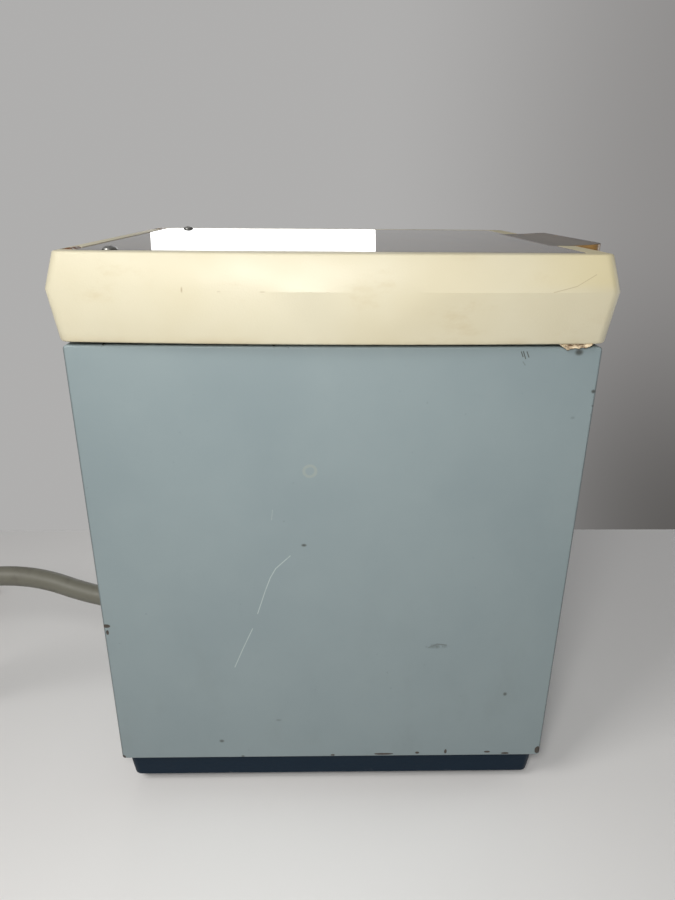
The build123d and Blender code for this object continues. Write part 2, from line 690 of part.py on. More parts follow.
with BuildPart() as plug_pins:
    face = plug_y - 44
    for side in (-1, 1):
        with Locations((tail_x + side * 6.35, face - 8, tail_z + 3)):
            Box(1.5, 16, 6.3)
    with Locations((tail_x, face - 9, tail_z - 7)):
        Cylinder(2.4, 18, rotation=(90, 0, 0))
save(plug_pins, "plug_pins")
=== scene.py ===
"""The looks of a small bench centrifuge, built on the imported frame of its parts. Metres, +Z up.

The front, with the controls and the lid's finger tab, is -Y. The mains lead leaves at the rear, +Y.
"""

import math
import random

import bmesh
import bpy
from mathutils import Matrix, Quaternion, Vector


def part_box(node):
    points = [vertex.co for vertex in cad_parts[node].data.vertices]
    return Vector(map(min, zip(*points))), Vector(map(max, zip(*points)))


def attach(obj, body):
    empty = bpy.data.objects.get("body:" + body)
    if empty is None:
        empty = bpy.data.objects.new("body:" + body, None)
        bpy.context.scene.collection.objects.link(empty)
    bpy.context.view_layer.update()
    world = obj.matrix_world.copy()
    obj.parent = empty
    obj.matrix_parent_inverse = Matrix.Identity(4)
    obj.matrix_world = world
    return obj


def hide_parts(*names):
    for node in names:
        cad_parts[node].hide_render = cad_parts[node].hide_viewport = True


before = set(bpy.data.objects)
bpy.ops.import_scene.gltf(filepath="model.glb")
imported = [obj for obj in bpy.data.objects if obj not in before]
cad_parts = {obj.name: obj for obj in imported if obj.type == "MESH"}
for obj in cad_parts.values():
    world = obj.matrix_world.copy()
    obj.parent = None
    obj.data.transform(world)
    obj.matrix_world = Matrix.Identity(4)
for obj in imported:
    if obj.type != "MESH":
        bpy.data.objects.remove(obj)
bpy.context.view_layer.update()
scene = bpy.context.scene

# ---- The studio: a pale bench top that ends a hand's breadth beyond the machine, and a grey room.
# One lamp stands near the camera and one to its left. Two weak ones light the front and far side.
camera = bpy.data.objects.new("camera", bpy.data.cameras.new("camera"))
scene.collection.objects.link(camera)
scene.camera = camera
camera.data.lens = 26.21
camera.data.sensor_width = 36
camera.data.clip_start = 0.01
look_down, look_right, roll = math.radians(21.42), math.radians(1.25), math.radians(0.48)
level, drop = math.cos(look_down), math.sin(look_down)
aim = Vector((math.cos(look_right) * level, -math.sin(look_right) * level, -drop))
camera.location = (-0.329, 0.0083, 0.2789)
camera.rotation_mode = "QUATERNION"
camera.rotation_quaternion = aim.to_track_quat("-Z", "Y") @ Quaternion((0, 0, 1), roll)

for lamp_name, lamp_place, lamp_target, lamp_size, lamp_power, lamp_colour in (
    ("near_lamp", (-0.38, 0.045, 0.35), (-0.08, 0.0, 0.12), 0.09, 0.98, (1.0, 0.985, 0.955)),
    ("side_lamp", (-0.37, 0.40, 0.60), (-0.08, 0.0, 0.16), 0.25, 2.0, (1.0, 0.98, 0.95)),
    ("front_lamp", (0.12, -0.80, 0.24), (0.0, 0.0, 0.14), 0.35, 1.0, (0.98, 0.99, 1.0)),
    ("far_lamp", (0.75, 0.10, 0.30), (0.0, 0.0, 0.14), 0.35, 0.8, (0.98, 0.99, 1.0)),
):
    lamp = bpy.data.objects.new(lamp_name, bpy.data.lights.new(lamp_name, "AREA"))
    scene.collection.objects.link(lamp)
    lamp.data.size = lamp_size
    lamp.data.energy = lamp_power
    lamp.data.color = lamp_colour
    lamp.location = lamp_place
    lamp.rotation_mode = "QUATERNION"
    lamp.rotation_quaternion = (Vector(lamp_target) - Vector(lamp_place)).to_track_quat("-Z", "Y")
    lamp.visible_camera = False


def add_node(tree, kind, settings=None, inputs=None, output=0):
    """Adds a node, its settings first and then the values or links of its inputs; gives an output."""
    made = tree.nodes.new(kind)
    for key, value in (settings or {}).items():
        setattr(made, key, value)
    for key, value in (inputs or {}).items():
        if isinstance(value, bpy.types.NodeSocket):
            tree.links.new(value, made.inputs[key])
        else:
            made.inputs[key].default_value = value
    return made.outputs[output]


def reckoned(operation):
    """A method that gives a maths node of its Link and the values it is called with."""
    return lambda link, *values: link.reckon(operation, link, *values)


class Link:
    """A shader socket that takes part in Python arithmetic."""

    def __init__(self, finish, socket):
        self.finish = finish
        self.socket = socket

    def other(self, output):
        """Another output of the same node."""
        return Link(self.finish, self.socket.node.outputs[output])

    def reckon(self, operation, *values):
        return self.finish.node("ShaderNodeMath", {"operation": operation}, dict(enumerate(values)))

    def __rsub__(self, value):
        return self.reckon("SUBTRACT", value, self)

    __add__ = __radd__ = reckoned("ADD")
    __sub__ = reckoned("SUBTRACT")
    __mul__ = __rmul__ = reckoned("MULTIPLY")
    __truediv__ = reckoned("DIVIDE")
    __abs__ = reckoned("ABSOLUTE")
    __lt__ = reckoned("LESS_THAN")
    least = reckoned("MINIMUM")
    most = reckoned("MAXIMUM")
    root = reckoned("SQRT")

    def rise(self, low, high):
        """0 at low, 1 at high and smooth between them; low may be the larger."""
        inputs = {"Value": self, "From Min": low, "From Max": high}
        return self.finish.node("ShaderNodeMapRange", {"interpolation_type": "SMOOTHSTEP"}, inputs)


class Finish:
    """A material under way: its nodes, its shader, and the place on the object in metres."""

    def __init__(self, name, constants):
        self.material = bpy.data.materials.new(name)
        self.material.use_nodes = True
        self.begin(self.material.node_tree, "Object")
        self.shader = self.tree.nodes["Principled BSDF"]
        for socket, value in constants.items():
            self.shader.inputs[socket].default_value = value

    def begin(self, tree, space):
        self.tree = tree
        self.place = self.node("ShaderNodeTexCoord", output=space)
        self.x = self.node("ShaderNodeSeparateXYZ", inputs={"Vector": self.place})
        self.y = self.x.other("Y")
        self.z = self.x.other("Z")

    def node(self, kind, settings=None, inputs=None, output=0):
        """A new node's output as a Link; its inputs take Links too."""
        inputs = {key: getattr(value, "socket", value) for key, value in (inputs or {}).items()}
        return Link(self, add_node(self.tree, kind, settings, inputs, output))

    def grain(self, size, detail=3.0, rough=0.5, stretch=(1, 1, 1), shift=(0, 0, 0)):
        """Noise from 0 to 1 whose lumps are about size metres across, longer where stretch is more."""
        scale = tuple(1 / (size * share) for share in stretch)
        inputs = {"Vector": self.place, "Location": shift, "Scale": scale}
        place = self.node("ShaderNodeMapping", inputs=inputs)
        inputs = {"Vector": place, "Scale": 1.0, "Detail": detail, "Roughness": rough}
        return self.node("ShaderNodeTexNoise", inputs=inputs)

    def mix(self, share, colour, other):
        """One colour where share is 0 and the other where it is 1."""
        colours = [value if isinstance(value, Link) else (*value, 1) for value in (colour, other)]
        inputs = {0: share, 6: colours[0], 7: colours[1]}
        return self.node("ShaderNodeMix", {"data_type": "RGBA"}, inputs, output=2)

    def bump(self, height, depth, under=None):
        """A normal from a height of 0 to 1 that stands for depth metres."""
        inputs = {"Height": height, "Distance": depth}
        if under:
            inputs["Normal"] = under
        return self.node("ShaderNodeBump", inputs=inputs)

    def dab(self, centre, size, edge=0.5):
        """1 inside a spot of that half width and half height on a side face, 0 outside."""
        flat = (self.y - centre[0]) / size[0]
        tall = (self.z - centre[1]) / size[1]
        return (flat * flat + tall * tall).root().rise(1 + edge, 1 - edge)

    def stroke(self, start, end, width):
        """1 along a straight scratch on a side face, 0 beside it."""
        run, climb = end[0] - start[0], end[1] - start[1]
        long = math.hypot(run, climb)
        flat = self.y - start[0]
        tall = self.z - start[1]
        along = flat * (run / long) + tall * (climb / long)
        beside = abs(flat * (climb / long) - tall * (run / long))
        past = abs(along - long / 2) - long / 2
        return beside.most(past).rise(width, width * 0.3)

    def done(self, **sockets):
        """Sets or links the shader's sockets and gives the material."""
        names = {"colour": "Base Color", "rough": "Roughness", "normal": "Normal"}
        for name, value in sockets.items():
            socket = self.shader.inputs[names[name]]
            if isinstance(value, Link):
                self.tree.links.new(value.socket, socket)
            else:
                socket.default_value = value
        return self.material


floor_finish = Finish("bench_top", {"Specular IOR Level": 0.35})
floor_finish.done(
    colour=floor_finish.mix(floor_finish.grain(0.25, 2.0), (0.78, 0.775, 0.775), (0.82, 0.815, 0.81)),
    rough=0.32 + 0.1 * floor_finish.grain(0.05),
    normal=floor_finish.bump(floor_finish.grain(0.004, 2.0), 0.00004),
)
floor_mesh = bpy.data.meshes.new("bench_top")
floor_edge, floor_reach = 0.187, 3.5
floor_corners = [(-floor_reach, -floor_reach, 0), (floor_edge, -floor_reach, 0)]
floor_corners += [(floor_edge, floor_reach, 0), (-floor_reach, floor_reach, 0)]
floor_mesh.from_pydata(floor_corners, [], [(0, 1, 2, 3)])
floor_mesh.materials.append(floor_finish.material)
floor = bpy.data.objects.new("bench_top", floor_mesh)
scene.collection.objects.link(floor)


class Room(Finish):
    """The room behind the bench: its place is the direction looked in."""

    def __init__(self, world):
        self.begin(world.node_tree, "Generated")


scene.world = bpy.data.worlds.new("room")
scene.world.use_nodes = True
room = Room(scene.world)
# The backdrop is painted lighter towards the upper left and darker low on the right: painted light and a
# painted shadow of the machine on the wall.
room_low_right_shadow = room.mix(room.z.rise(-0.46, -0.02), (0.105, 0.100, 0.096), (0.270, 0.262, 0.258))
room_wall_light_and_shadow = room.mix(room.y.rise(-0.50, -0.05), room_low_right_shadow, (0.430, 0.425, 0.420))
room_path = room.node("ShaderNodeLightPath")
room_seen = room_path.other("Is Camera Ray").most(room_path.other("Is Glossy Ray"))
room_glow = 0.44  # how much of it lights the bench
backdrop = room.tree.nodes["Background"]
room.tree.links.new(room_wall_light_and_shadow.socket, backdrop.inputs["Color"])
room.tree.links.new((room_glow + (1 - room_glow) * room_seen).socket, backdrop.inputs["Strength"])
scene.view_settings.view_transform = "Standard"

# ---- Mains lead: 1.8 m of round grey-green flex. It leaves a moulded sleeve in the rear panel,
# arches down to the bench, and the rest is wound in a double coil of flat turns under a tie.
exit_x, exit_y, exit_z = -0.044, 0.1068, 0.0845
cord_radius = 0.0048
cord_route = [
    (exit_x, exit_y + 0.0025, exit_z),
    (-0.0440, 0.1270, 0.0885),
    (-0.0443, 0.1500, 0.0990),
    (-0.0450, 0.1760, 0.1005),
    (-0.0465, 0.2010, 0.0950),
    (-0.0475, 0.2220, 0.0810),
    (-0.0490, 0.2380, 0.0590),
    (-0.0515, 0.2570, 0.0330),
    (-0.0530, 0.2730, 0.0165),
    (-0.0545, 0.2930, 0.0070),
    (-0.0540, 0.3160, 0.0049),
    (-0.0555, 0.3450, 0.0048),
]
coil_middle = Vector((0.008, 0.368, 0))
coil_turns, coil_points, coil_outer = 2.25, 14, 0.0625
points_in_layer = round(coil_turns * coil_points)
for n in range(2 * points_in_layer + 1):
    inward = min(n, 2 * points_in_layer - n) / coil_points
    climbed = min(1.0, max(0.0, (n - points_in_layer + 2) / 4))
    angle = math.pi - 2 * math.pi * n / coil_points
    reach = coil_outer - 2 * cord_radius * inward
    turn_height = cord_radius + 2 * cord_radius * climbed
    turn_x, turn_y = reach * math.cos(angle), reach * math.sin(angle)
    cord_route.append((coil_middle.x + turn_x, coil_middle.y + turn_y, turn_height))
plug_x, plug_z = coil_middle.x + 0.062, 3 * cord_radius
boot_y = 0.314
cord_route += [(plug_x, 0.352, plug_z), (plug_x, 0.334, plug_z), (plug_x, boot_y - 0.004, plug_z)]

sheath = Finish("flex_sheath", {"Specular IOR Level": 0.45})
sheath_dirt = sheath.grain(0.012, 4.0, 0.6).rise(0.52, 0.72)
sheath_colour = sheath.mix(sheath.grain(0.04, 2.0), (0.122, 0.118, 0.094), (0.148, 0.144, 0.115))
sheath.done(
    colour=sheath.mix(0.55 * sheath_dirt, sheath_colour, (0.07, 0.066, 0.050)),
    rough=0.42 + 0.18 * sheath.grain(0.006),
    normal=sheath.bump(sheath.grain(0.0012, 2.0), 0.00005),
)
lead_curve = bpy.data.curves.new("mains_lead", "CURVE")
lead_curve.dimensions = "3D"
lead_curve.bevel_depth = cord_radius
lead_curve.bevel_resolution = 5
lead_curve.resolution_u = 6
lead_curve.use_fill_caps = True
lead_curve.materials.append(sheath.material)
lead_spline = lead_curve.splines.new("NURBS")
lead_spline.points.add(len(cord_route) - 1)
for point, place in zip(lead_spline.points, cord_route):
    point.co = (*place, 1)
lead_spline.order_u = 3
lead_spline.use_endpoint_u = True
mains_lead = bpy.data.objects.new("mains_lead", lead_curve)
scene.collection.objects.link(mains_lead)
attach(mains_lead, "cabinet")
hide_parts("power_cord", "cord_coil", "cord_tail")


def closed_mesh(shape, name, material, place=None):
    """A mesh from a bmesh shape, moved to its place, its faces turned outwards."""
    bmesh.ops.remove_doubles(shape, verts=shape.verts, dist=1e-7)
    bmesh.ops.recalc_face_normals(shape, faces=shape.faces)
    if place:
        bmesh.ops.transform(shape, matrix=place, verts=shape.verts)
    mesh = bpy.data.meshes.new(name)
    shape.to_mesh(mesh)
    shape.free()
    mesh.materials.append(material)
    return mesh


def add_piece(mesh, name, body, stands_for=(), smooth=35):
    """Makes a mesh a piece on a body, smooth but for its edges sharper than so many degrees."""
    mesh.polygons.foreach_set("use_smooth", [True] * len(mesh.polygons))
    mesh.set_sharp_from_angle(angle=math.radians(smooth))
    piece = bpy.data.objects.new(name, mesh)
    scene.collection.objects.link(piece)
    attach(piece, body)
    if stands_for:
        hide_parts(*stands_for)
    return piece


def eased(piece, width):
    """Rounds off a piece's sharp edges."""
    bevel = piece.modifiers.new("eased_edges", "BEVEL")
    bevel.width = width
    bevel.segments = 2
    bevel.limit_method = "ANGLE"
    bevel.angle_limit = math.radians(40)
    bevel.harden_normals = True


def plain_mesh(worker):
    """A working object's finished shape as a plain mesh; the object itself goes."""
    bpy.context.view_layer.update()
    depsgraph = bpy.context.evaluated_depsgraph_get()
    result = bpy.data.meshes.new_from_object(worker.evaluated_get(depsgraph))
    bpy.data.objects.remove(worker)
    return result


def turned(profile, steps=48):
    """A closed shape turned about Z from (radius, height) pairs that start and end on the axis."""
    shape = bmesh.new()
    rings = []
    for radius, height in profile:
        count = steps if radius else 1
        spots = [2 * math.pi * n / count for n in range(count)]
        rings.append([shape.verts.new((radius * math.cos(a), radius * math.sin(a), height)) for a in spots])
    for low, high in zip(rings, rings[1:]):
        for n in range(steps):
            corners = [low[n % len(low)], low[(n + 1) % steps % len(low)]]
            corners += [high[(n + 1) % steps % len(high)], high[n % len(high)]]
            shape.faces.new(list(dict.fromkeys(corners)))
    return shape


def facing(x, y, z, direction):
    """Stands a shape's +Z along a direction, with its origin at x, y, z."""
    return Matrix.Translation((x, y, z)) @ Vector(direction).to_track_quat("Z", "X").to_matrix().to_4x4()


sleeve_profile = [(0, -0.004), (0.0068, -0.004), (0.0068, 0), (0.0086, 0), (0.009, 0.0004), (0.009, 0.0021)]
sleeve_profile += [(0.0086, 0.0025), (0.0076, 0.0025)]
for rib in range(3):
    rib_start = 0.0030 + 0.0030 * rib
    radius = 0.0075 - 0.0006 * rib
    sleeve_profile += [(radius, rib_start), (radius - 0.0011, rib_start + 0.0004)]
    sleeve_profile += [(radius - 0.0011, rib_start + 0.0014), (radius - 0.0002, rib_start + 0.0018)]
sleeve_profile += [(0.0056, 0.0112), (0.0053, 0.0122), (0.0049, 0.0126), (0, 0.0126)]
sleeve_place = facing(exit_x, exit_y, exit_z, (0, 12, 1))
sleeve_mesh = closed_mesh(turned(sleeve_profile), "cord_sleeve", sheath.material, sleeve_place)
add_piece(sleeve_mesh, "cord_sleeve", "cabinet", ["strain_relief"], 50)


def dressed(node, name, material, body, edge=0.0, smooth=32):
    """A copy of a frame part with its flat faces made whole and its sharp edges eased."""
    shape = bmesh.new()
    shape.from_mesh(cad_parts[node].data)
    bmesh.ops.remove_doubles(shape, verts=shape.verts, dist=2e-6)
    bmesh.ops.dissolve_limit(shape, angle_limit=math.radians(0.4), verts=shape.verts, edges=shape.edges)
    mesh = bpy.data.meshes.new(name)
    shape.to_mesh(mesh)
    shape.free()
    mesh.materials.clear()
    mesh.materials.append(material)
    piece = add_piece(mesh, name, body, [node], smooth)
    if edge:
        eased(piece, edge)
    return piece


copies = bpy.data.node_groups.new("copies", "GeometryNodeTree")
for socket_name, socket_kind in (
    ("Shape", "Geometry"),
    ("Count", "Int"),
    ("Step", "Vector"),
    ("Turn", "Float"),
    ("Start", "Float"),
    ("Finish", "Material"),
):
    copies.interface.new_socket(socket_name, in_out="INPUT", socket_type="NodeSocket" + socket_kind)
copies.interface.new_socket("Shape", in_out="OUTPUT", socket_type="NodeSocketGeometry")
asked = copies.nodes.new("NodeGroupInput").outputs
number = add_node(copies, "GeometryNodeInputIndex")
inputs = {"Vector": asked["Step"], "Scale": number}
spot = add_node(copies, "ShaderNodeVectorMath", {"operation": "SCALE"}, inputs)
inputs = {0: number, 1: asked["Turn"], 2: asked["Start"]}
swing = add_node(copies, "ShaderNodeMath", {"operation": "MULTIPLY_ADD"}, inputs)
swing = add_node(copies, "ShaderNodeCombineXYZ", inputs={"Z": swing})
spots = add_node(copies, "GeometryNodePoints", inputs={"Count": asked["Count"], "Position": spot})
inputs = {"Points": spots, "Instance": asked["Shape"], "Rotation": swing}
made = add_node(copies, "GeometryNodeInstanceOnPoints", inputs=inputs)
made = add_node(copies, "GeometryNodeRealizeInstances", inputs={"Geometry": made})
made = add_node(copies, "GeometryNodeSetMaterial", inputs={"Geometry": made, "Material": asked["Finish"]})
copies.links.new(made, copies.nodes.new("NodeGroupOutput").inputs["Shape"])


def repeated(mesh, count, step=(0, 0, 0), turn=0.0, start=0.0, place=None):
    """Copies of a mesh, each moved on by step and turned on by turn about Z, as one plain mesh."""
    worker = bpy.data.objects.new("worker", mesh)
    scene.collection.objects.link(worker)
    modifier = worker.modifiers.new("copies", "NODES")
    modifier.node_group = copies
    wanted = {"Count": count, "Step": step, "Turn": turn, "Start": start, "Finish": mesh.materials[0]}
    for item in copies.interface.items_tree:
        if item.in_out == "INPUT" and item.name in wanted:
            modifier[item.identifier] = wanted[item.name]
    result = plain_mesh(worker)
    if place:
        result.transform(place)
    return result


def box_shape(x, y, z, shape=None):
    """A box from its (low, high) spans, added to a shape if one is given."""
    shape = shape or bmesh.new()
    middle = [(low + high) / 2 for low, high in (x, y, z)]
    size = [high - low for low, high in (x, y, z)]
    place = Matrix.Translation(middle) @ Matrix.Diagonal((*size, 1))
    bmesh.ops.create_cube(shape, size=1, matrix=place)
    return shape


plug_body = dressed("plug_body", "plug_moulding", sheath.material, "cabinet", 0.0008, 40)
pin_brass = Finish("pin_brass", {"Metallic": 1.0})
pin_brass.done(
    colour=pin_brass.mix(pin_brass.grain(0.003, 4.0), (0.70, 0.52, 0.24), (0.60, 0.42, 0.18)),
    rough=0.28 + 0.2 * pin_brass.grain(0.002, 4.0, stretch=(1, 6, 1)),
)
plug_pins = dressed("plug_pins", "plug_contacts", pin_brass.material, "cabinet", 0.0003)
grip_shape = box_shape((-0.0145, -0.0130), (0.0, 0.0014), (-0.0085, 0.0085))
grip = closed_mesh(grip_shape, "plug_grip", sheath.material)
grip_step, far_side = (0, 0.0032, 0), Matrix.Translation((0.0275, 0, 0))
grip_shape = bmesh.new()
grip_shape.from_mesh(repeated(grip, 5, step=grip_step))
grip_shape.from_mesh(repeated(grip, 5, step=grip_step, place=far_side))
grip_place = Matrix.Translation((plug_x, 0.2755, plug_z))
grip_mesh = closed_mesh(grip_shape, "plug_grips", sheath.material, grip_place)
plug_grips = add_piece(grip_mesh, "plug_grips", "cabinet")
grips_eased = plug_grips.modifiers.new("eased_edges", "BEVEL")
grips_eased.width = 0.0004
grips_eased.segments = 2

tie_cloth = Finish("tie_cloth", {"Sheen Weight": 0.4})
tie_inputs = {"Vector": tie_cloth.place, "Scale": 420.0, "Distortion": 3.0}
tie_weave = tie_cloth.node("ShaderNodeTexWave", {"bands_direction": "DIAGONAL"}, tie_inputs)
tie_cloth.done(
    colour=tie_cloth.mix(tie_weave, (0.012, 0.012, 0.013), (0.05, 0.05, 0.052)),
    rough=0.85,
    normal=tie_cloth.bump(tie_weave, 0.0002),
)
tie_wide, tie_thick, tie_squareness = 0.0055, 0.0009, 0.45
tie_middle, tie_reach = (0.0515, 0.0100), (0.0158, 0.0091)
tie_shape = bmesh.new()
tie_steps, tie_loop = 40, []
for n in range(tie_steps):
    angle = 2 * math.pi * n / tie_steps
    flat = math.copysign(abs(math.cos(angle)) ** tie_squareness, math.cos(angle))
    tall = math.copysign(abs(math.sin(angle)) ** tie_squareness, math.sin(angle))
    ring = []
    for side, grow in ((-1, 0.0), (1, 0.0), (1, tie_thick), (-1, tie_thick)):
        out = tie_middle[0] + (tie_reach[0] + grow) * flat
        up = tie_middle[1] + (tie_reach[1] + grow) * tall
        ring.append(tie_shape.verts.new((tie_wide * side, out, up)))
    tie_loop.append(ring)
for ring, following in zip(tie_loop, tie_loop[1:] + tie_loop[:1]):
    for n in range(4):
        tie_shape.faces.new((ring[n], ring[(n + 1) % 4], following[(n + 1) % 4], following[n]))
tie_place = Matrix.Translation(coil_middle) @ Matrix.Rotation(math.radians(-14), 4, "Z")
tie_mesh = closed_mesh(tie_shape, "coil_tie", tie_cloth.material, tie_place)
coil_tie = add_piece(tie_mesh, "coil_tie", "cabinet", smooth=60)

# ---- Base tray and feet: a shallow pressed tray in dark blue enamel, with five slots to let air
# in, standing on four screwed rubber feet.
tray_paint = Finish("tray_enamel", {"Specular IOR Level": 0.10})
# patchy lighter grey along the tray's lower edge: a painted highlight
tray_low_edge_highlight = tray_paint.grain(0.009, 5.0, 0.65).rise(0.60, 0.74) * tray_paint.z.rise(0.0085, 0.0062)
tray_dust = tray_paint.grain(0.02, 3.0, stretch=(1, 3, 1)).rise(0.35, 0.8)
tray_colour = tray_paint.mix(0.15 * tray_dust, (0.004, 0.015, 0.030), (0.030, 0.042, 0.058))
tray_paint.done(
    colour=tray_paint.mix(0.6 * tray_low_edge_highlight, tray_colour, (0.22, 0.22, 0.22)),
    rough=0.36 + 0.25 * tray_dust,
    normal=tray_paint.bump(tray_paint.grain(0.0015, 2.0), 0.00008),
)
dressed("base_tray", "base_tray_skin", tray_paint.material, "cabinet", 0.0006)

black_rubber = Finish("black_rubber", {"Specular IOR Level": 0.3})
black_rubber.done(
    colour=black_rubber.mix(black_rubber.grain(0.005, 4.0), (0.018, 0.018, 0.018), (0.045, 0.043, 0.04)),
    rough=0.72 + 0.2 * black_rubber.grain(0.002),
    normal=black_rubber.bump(black_rubber.grain(0.0006, 2.0), 0.0001),
)
dressed("rubber_feet", "rubber_foot_pads", black_rubber.material, "cabinet", 0.0007)


def metal(name, dark, light, rough, length=(1, 1, 8)):
    """A metal with brush marks that run along one direction, and faint blotches."""
    finish = Finish(name, {"Metallic": 1.0})
    lines = finish.grain(0.0006, 3.0, 0.6, stretch=length)
    blotch = finish.grain(0.012, 4.0, 0.6)
    return finish.done(
        colour=finish.mix(blotch.rise(0.3, 0.75), light, dark),
        rough=rough + 0.16 * lines + 0.12 * blotch,
        normal=finish.bump(lines, 0.00002),
    )


steel = metal("zinc_steel", (0.42, 0.41, 0.38), (0.60, 0.60, 0.58), 0.24)
for node in ("foot_screws", "frame_posts"):
    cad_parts[node].material_slots[0].material = steel

# ---- Cabinet skin: two folded side panels of grey-blue enamelled sheet with flat front and rear
# panels let in between their returns. Years of use have chipped the edges and scratched one side.
panel_low, panel_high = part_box("left_side_panel")
middle_y = (panel_low.y + panel_high.y) / 2


def enamel(name, worn):
    """Grey-blue satin enamel on steel, with painted shade: darker towards the bottom and on its rounded
    folds. The worn side carries its own scratches and chips.
    """
    paint = Finish(name, {"Specular IOR Level": 0.42})
    mottle = paint.grain(0.05, 4.0, 0.55)
    speck = paint.grain(0.0022, 2.0, 0.5)
    colour = paint.mix(mottle.rise(0.25, 0.75), (0.214, 0.266, 0.281), (0.232, 0.285, 0.298))
    grime_and_low_shade = paint.grain(0.018, 5.0, 0.6, stretch=(1, 1, 2)).rise(0.5, 0.85)
    # patchy darkening towards the bottom of the panels: partly dirt, partly painted shade
    colour = paint.mix(0.22 * grime_and_low_shade * paint.z.rise(0.16, 0.02), colour, (0.165, 0.185, 0.170))
    colour = paint.mix(0.5 * speck.rise(0.74, 0.80), colour, (0.155, 0.185, 0.190))
    rough = 0.40 + 0.12 * mottle + 0.1 * grime_and_low_shade
    low_edge = paint.z - panel_low.z
    high_edge = panel_high.z - paint.z
    side_edge = (panel_high.y - paint.y).least(paint.y - panel_low.y)
    fold = 0.0011  # how far the rounded folds reach
    edge = low_edge.least(high_edge)
    if worn:
        edge = edge.least(side_edge)
    chips = paint.grain(0.0035, 4.0, 0.6).rise(0.61, 0.66) * edge.rise(0.0013, 0.0004)
    metal_bare = chips * paint.grain(0.045, 1.0, shift=(3, 1, 7)).rise(0.52, 0.60)
    if worn:
        outer = paint.x < panel_low.x + fold
        wobble = paint.grain(0.0030, 3.0, 0.6) - 0.5
        # one long scratch in two runs, and a short one above it
        broken = paint.grain(0.0045, 3.0, 0.6, shift=(2, 5, 1)).rise(0.30, 0.55)
        pale = 0.4 * paint.stroke((0.0298, 0.1559), (0.0303, 0.1513), 0.00022)
        for run in (
            ((0.0229, 0.1340), (0.0292, 0.1278), (0.0316, 0.1233), (0.0339, 0.1170), (0.0378, 0.1047)),
            ((0.0404, 0.0966), (0.0452, 0.0856), (0.0493, 0.0755)),
        ):
            for start, end in zip(run, run[1:]):
                pale = pale.most(paint.stroke(start, end, 0.00026))
        pale = pale * (0.45 + 0.55 * broken) * outer
        colour = paint.mix(pale.least(0.75), colour, (0.44, 0.50, 0.50))
        # a faint ring where something stood, and small rubs
        ring_y = paint.y - 0.0141
        ring_z = paint.z - 0.1735
        ring = abs((ring_y * ring_y + ring_z * ring_z).root() - 0.0024 + 0.0008 * wobble)
        ring = ring.rise(0.0009, 0.0003) * 0.5 * outer
        colour = paint.mix(ring, colour, (0.30, 0.33, 0.29))
        smudge = paint.dab((-0.0430, 0.0865), (0.0045, 0.0011), 0.6)
        smudge = smudge * paint.grain(0.002, 4.0).rise(0.35, 0.6)
        squiggle = 0.4 * paint.stroke((-0.0680, 0.2191), (-0.0689, 0.2179), 0.0003)
        for start, end in (
            ((-0.0669, 0.2230), (-0.0677, 0.2212)),
            ((-0.0677, 0.2231), (-0.0688, 0.2204)),
            ((-0.0691, 0.2230), (-0.0700, 0.2210)),
        ):
            squiggle = squiggle.most(paint.stroke(start, end, 0.0003))
        rub = paint.stroke((-0.0395, 0.0858), (-0.0432, 0.0877), 0.0003)
        rub = rub.most(paint.stroke((-0.0432, 0.0877), (-0.0475, 0.0871), 0.0004))
        dark = (0.5 * smudge).most(0.9 * squiggle).most(0.6 * rub)
        for centre, size, weight in (
            ((0.0169, 0.1392), (0.0010, 0.0006), 0.9),
            ((-0.0970, 0.2074), (0.0008, 0.0007), 0.9),
            ((-0.0891, 0.2229), (0.0014, 0.0011), 0.9),
            ((0.0578, 0.0313), (0.0010, 0.0008), 0.8),
            ((0.0480, 0.0216), (0.0007, 0.0005), 0.8),
            ((-0.0773, 0.0587), (0.0008, 0.0009), 0.8),
            ((-0.0978, 0.2015), (0.0007, 0.0004), 0.6),
            ((-0.0903, 0.1965), (0.0008, 0.0005), 0.25),
            ((0.0300, 0.0440), (0.0012, 0.0005), 0.35),
        ):
            dark = dark.most(weight * paint.dab(centre, size, 0.6))
        colour = paint.mix(dark * outer, colour, (0.055, 0.060, 0.055))
        bare = paint.dab((-0.0209, 0.0222), (0.0046, 0.0006), 0.5)
        for centre, size in (
            ((-0.0514, 0.0235), (0.0006, 0.0013)),
            ((-0.0375, 0.0228), (0.0009, 0.0007)),
            ((-0.0720, 0.0230), (0.0015, 0.0006)),
            ((-0.0810, 0.0220), (0.0019, 0.0006)),
            ((-0.0968, 0.0240), (0.0012, 0.0022)),
            ((0.1054, 0.0984), (0.0017, 0.0009)),
            ((0.1052, 0.0950), (0.0006, 0.0012)),
            ((0.1060, 0.0218), (0.0010, 0.0010)),
            ((0.0040, 0.0218), (0.0010, 0.0005)),
        ):
            bare = bare.most(paint.dab(centre, size, 0.5))
        ragged = paint.grain(0.0016, 4.0, 0.7, shift=(6, 2, 3)) - 0.5
        bare = (bare + 1.8 * ragged * bare).rise(0.35, 0.6)
        metal_bare = metal_bare.most(bare)
    # the rounded folds at the panels' front and rear edges are painted near black: painted shade where they
    # turn from the light
    past_fold = abs(paint.x) - (abs(panel_low.x) - fold)
    fold_painted_shade = side_edge.rise(fold, 0.0003) * past_fold.rise(0, 0.0006)
    colour = paint.mix(0.6 * fold_painted_shade, colour, (0.050, 0.056, 0.058))
    rust = paint.mix(paint.grain(0.0016, 3.0), (0.020, 0.016, 0.012), (0.080, 0.054, 0.038))
    colour = paint.mix(metal_bare.least(0.92), colour, rust)
    peel = paint.bump(speck, 0.00003)
    return paint.done(
        colour=colour,
        rough=(rough + 0.25 * metal_bare).least(0.9),
        normal=paint.bump(1 - metal_bare, 0.0002, peel),
    )


